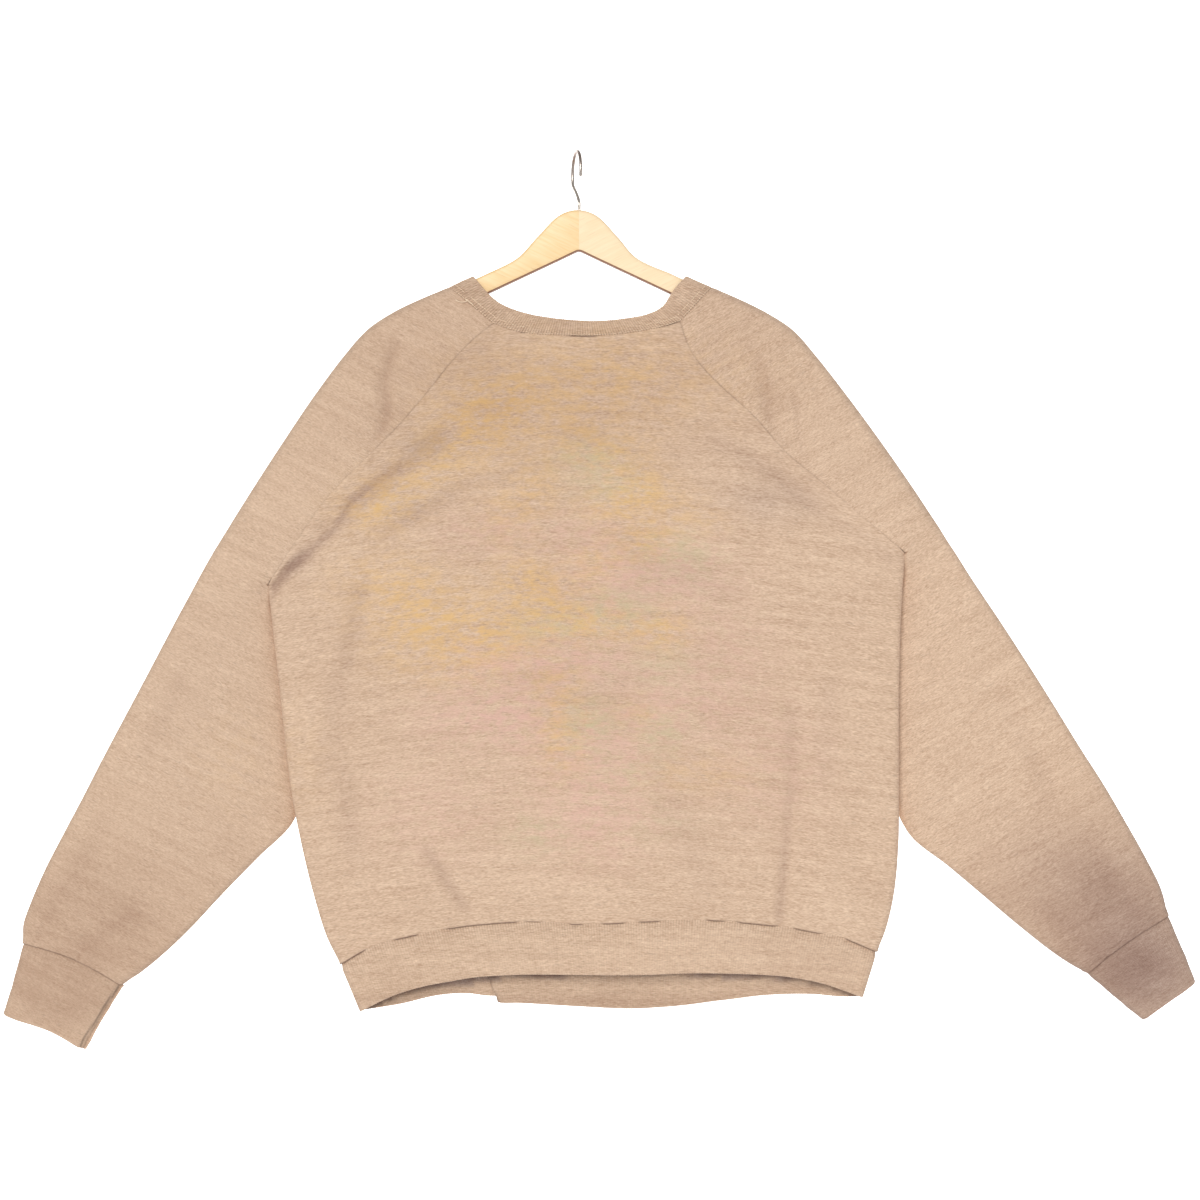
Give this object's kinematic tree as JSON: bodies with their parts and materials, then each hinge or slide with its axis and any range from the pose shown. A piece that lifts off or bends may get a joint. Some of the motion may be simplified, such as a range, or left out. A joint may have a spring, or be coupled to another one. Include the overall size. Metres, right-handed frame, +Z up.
{
  "type": "crewneck sweatshirt on a wooden hanger",
  "caption": "Beige heather crewneck sweatshirt with raglan sleeves and ribbed bands, hung flat on a pale wooden hanger with a steel wire hook.",
  "frame": {"origin": "top of the inside of the hook, where a rail carries it", "axes": "+Z up, +X to the wearer's right, and the back of the garment faces -Y"},
  "size_m": [1.2529, 0.0479, 0.9444],
  "materials": {
    "fleece": "matte",
    "rib": "matte",
    "wood_warm": "satin",
    "wood_pale": "satin",
    "steel_wire": "gloss"
  },
  "bodies": {
    "root": {"back": "fleece", "front": "fleece", "sleeve_left": "fleece", "sleeve_right": "fleece", "collar": "rib", "hem_band_back": "rib", "hem_band_front": "rib", "cuff_left": "rib", "cuff_right": "rib", "hanger_arm_left": "wood_warm", "hanger_arm_right": "wood_pale", "hanger_hook": "steel_wire"}
  },
  "joints": []
}
